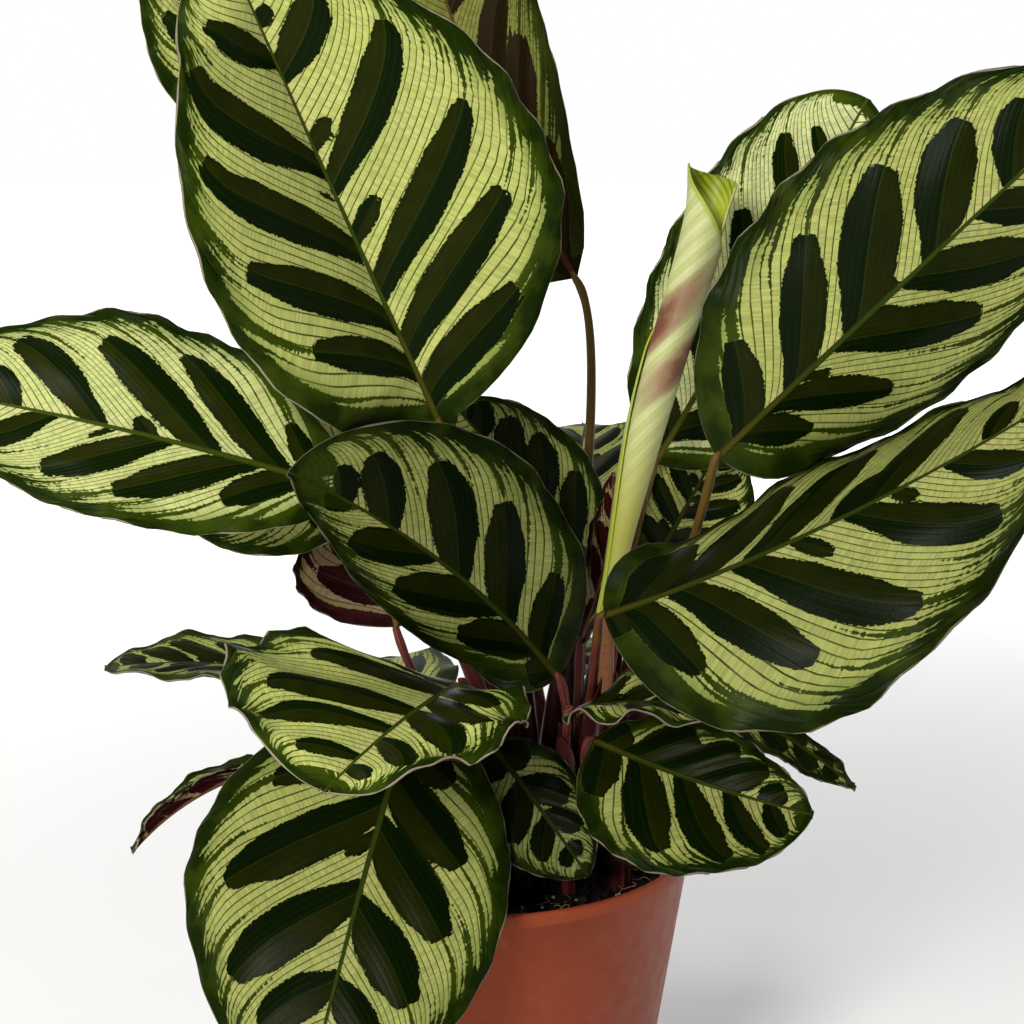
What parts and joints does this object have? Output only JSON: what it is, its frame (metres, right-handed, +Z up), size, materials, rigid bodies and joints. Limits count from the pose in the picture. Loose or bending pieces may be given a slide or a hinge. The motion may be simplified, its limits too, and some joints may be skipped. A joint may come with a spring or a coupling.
{
  "type": "potted peacock plant",
  "caption": "House plant with oval light and dark striped leaves on slender stalks, growing from soil in a round tapered plastic pot that stands on a flat base.",
  "frame": {"origin": "middle of the pot's flat underside", "axes": "+Z up, -Y towards the viewer of the reference view, +X to that viewer's right"},
  "size_m": [0.3388, 0.2575, 0.4363],
  "materials": {
    "leaf": "satin, pale green with dark feathered blotches above and maroon beneath",
    "young_leaf": "satin, pale yellow-green with faint pink bands",
    "stalk": "satin, olive to reddish brown",
    "soil": "rough dark potting mix with pale roots",
    "pot": "satin terracotta-coloured plastic"
  },
  "bodies": {
    "root": {"pot": "pot", "soil": "soil", "leaf_01_blade": "leaf", "leaf_01_stalk": "stalk", "leaf_02_blade": "leaf", "leaf_02_stalk": "stalk", "leaf_03_blade": "leaf", "leaf_03_stalk": "stalk", "leaf_04_blade": "leaf", "leaf_04_stalk": "stalk", "leaf_05_blade": "leaf", "leaf_05_stalk": "stalk", "leaf_06_blade": "leaf", "leaf_06_stalk": "stalk", "leaf_08_blade": "leaf", "leaf_08_stalk": "stalk", "leaf_09_blade": "leaf", "leaf_09_stalk": "stalk", "leaf_10_blade": "leaf", "leaf_10_stalk": "stalk", "leaf_11_blade": "leaf", "leaf_11_stalk": "stalk", "leaf_12_blade": "leaf", "leaf_12_stalk": "stalk", "leaf_13_blade": "leaf", "leaf_13_stalk": "stalk", "leaf_14_blade": "leaf", "leaf_14_stalk": "stalk", "leaf_15_blade": "leaf", "leaf_15_stalk": "stalk", "leaf_16_blade": "leaf", "leaf_16_stalk": "stalk", "leaf_17_blade": "leaf", "leaf_17_stalk": "stalk", "leaf_18_blade": "leaf", "leaf_18_stalk": "stalk", "leaf_19_blade": "leaf", "leaf_19_stalk": "stalk", "leaf_20_blade": "leaf", "leaf_20_stalk": "stalk", "leaf_21_blade": "leaf", "leaf_21_stalk": "stalk", "leaf_22_blade": "leaf", "leaf_22_stalk": "stalk", "leaf_23_blade": "leaf", "leaf_23_stalk": "stalk", "leaf_24_blade": "leaf", "leaf_24_stalk": "stalk", "leaf_25_blade": "leaf", "leaf_25_stalk": "stalk", "leaf_26_blade": "leaf", "leaf_26_stalk": "stalk", "leaf_27_blade": "leaf", "leaf_27_stalk": "stalk", "leaf_28_blade": "leaf", "leaf_28_stalk": "stalk", "leaf_07_rolled": "young_leaf", "leaf_07_stalk": "stalk"}
  },
  "joints": []
}
